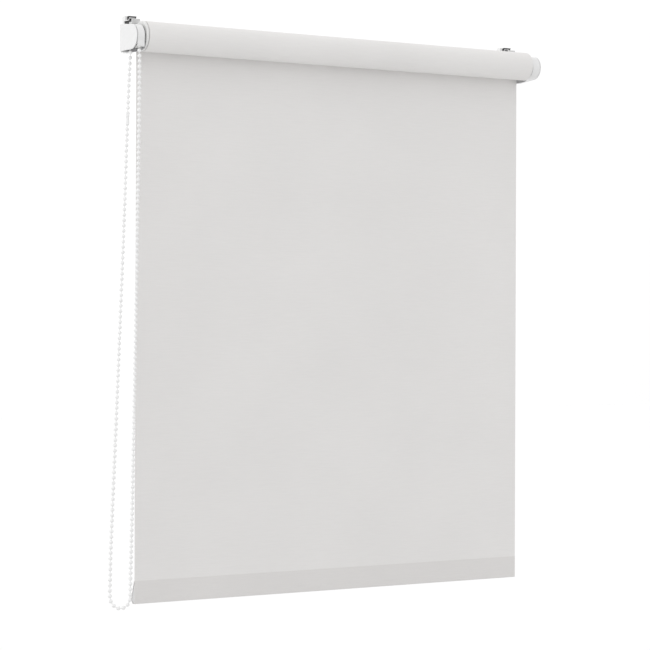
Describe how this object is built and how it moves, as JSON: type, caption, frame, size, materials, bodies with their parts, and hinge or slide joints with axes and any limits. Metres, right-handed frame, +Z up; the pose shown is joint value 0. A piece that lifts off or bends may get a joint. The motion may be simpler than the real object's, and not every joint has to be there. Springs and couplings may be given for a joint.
{
  "type": "roller blind",
  "caption": "Chain-operated roller blind that hooks over a window sash: white end housings, fabric on a turning tube, a weighted hem and a bead chain loop.",
  "frame": {"origin": "on the drive housing's flat rear face, in the sprocket's plane, level with the roller's axis", "axes": "+X along the width from the chain end to the idle end, +Y back into the window, +Z up"},
  "size_m": [0.5773, 0.0634, 0.667],
  "materials": {
    "white_plastic": "white moulded plastic, satin",
    "bead_plastic": "white beads, slightly glossy",
    "fabric": "light grey-white polyester, fine plain weave, matte",
    "aluminium": "mill finish",
    "spring_steel": "plain drawn steel",
    "dark_steel": "blackened steel strip",
    "grey_plastic": "light grey moulded plastic, matte",
    "tape": "double-sided tape strip"
  },
  "bodies": {
    "root": {"drive_cover": "white_plastic", "drive_housing": "white_plastic", "chain_guide": "white_plastic", "clutch_core": "white_plastic", "core_end_cap": "spring_steel", "brake_spring_a": "spring_steel", "brake_spring_b": "spring_steel", "idle_cover": "white_plastic", "idle_housing": "white_plastic", "idle_bush": "white_plastic", "idle_spring": "spring_steel", "drive_bracket": "spring_steel", "drive_strap_holder": "grey_plastic", "drive_strap": "dark_steel", "drive_rivet": "spring_steel", "idle_bracket": "spring_steel", "idle_strap_holder": "grey_plastic", "idle_strap": "dark_steel", "idle_rivet": "spring_steel", "chain_loop": "bead_plastic", "chain_tail": "bead_plastic", "chain_connector": "bead_plastic"},
    "roller": {"drive_sleeve": "white_plastic", "roller_tube": "aluminium", "edge_strip": "tape", "fabric_roll": "fabric", "idle_plug": "white_plastic"},
    "chain_wheel": {"sprocket": "white_plastic", "chain_wrap": "bead_plastic"},
    "hem": {"fabric_sheet": "fabric", "hem_pocket": "fabric", "bottom_bar": "aluminium", "bar_cap_left": "grey_plastic", "bar_cap_right": "grey_plastic"},
    "idle_pin": {"idle_pin": "spring_steel"},
    "drive_block": {"drive_clamp_block": "white_plastic", "drive_lever_pin": "spring_steel"},
    "drive_lever": {"drive_locking_lever": "dark_steel"},
    "idle_block": {"idle_clamp_block": "white_plastic", "idle_lever_pin": "spring_steel"},
    "idle_lever": {"idle_locking_lever": "dark_steel"}
  },
  "joints": [
    {"name": "roller_turn", "type": "hinge", "parent": "root", "child": "roller", "pos_m": [0, -0.0285, 0], "axis": [1, 0, 0], "range_deg": [0, 1800]},
    {"name": "sprocket_turn", "type": "hinge", "parent": "root", "child": "chain_wheel", "pos_m": [0, -0.0285, 0], "axis": [1, 0, 0], "range_deg": [0, 1800]},
    {"name": "hem_lift", "type": "slide", "parent": "root", "child": "hem", "axis": [0, 0, 1], "range_m": [0, 0.541], "deforming": ["fabric_sheet"]},
    {"name": "idle_pin_slide", "type": "slide", "parent": "root", "child": "idle_pin", "axis": [-1, 0, 0], "range_m": [0, 0.008], "stiffness_N_per_m": 150, "springref_m": -0.004, "deforming": ["idle_spring"]},
    {"name": "drive_block_slide", "type": "slide", "parent": "root", "child": "drive_block", "axis": [0, 1, 0], "range_m": [0, 0.006]},
    {"name": "drive_lever_lift", "type": "hinge", "parent": "drive_block", "child": "drive_lever", "pos_m": [0.0116, 0.0051, 0.0238], "axis": [-1, 0, 0], "range_deg": [0, 38]},
    {"name": "idle_block_slide", "type": "slide", "parent": "root", "child": "idle_block", "axis": [0, 1, 0], "range_m": [0, 0.006]},
    {"name": "idle_lever_lift", "type": "hinge", "parent": "idle_block", "child": "idle_lever", "pos_m": [0.5317, 0.0051, 0.0238], "axis": [-1, 0, 0], "range_deg": [0, 38]}
  ],
  "couplings": [
    {"joint": "sprocket_turn", "follows": "roller_turn", "ratio": 1},
    {"joint": "hem_lift", "follows": "roller_turn", "m_per_rad": 0.0172}
  ]
}
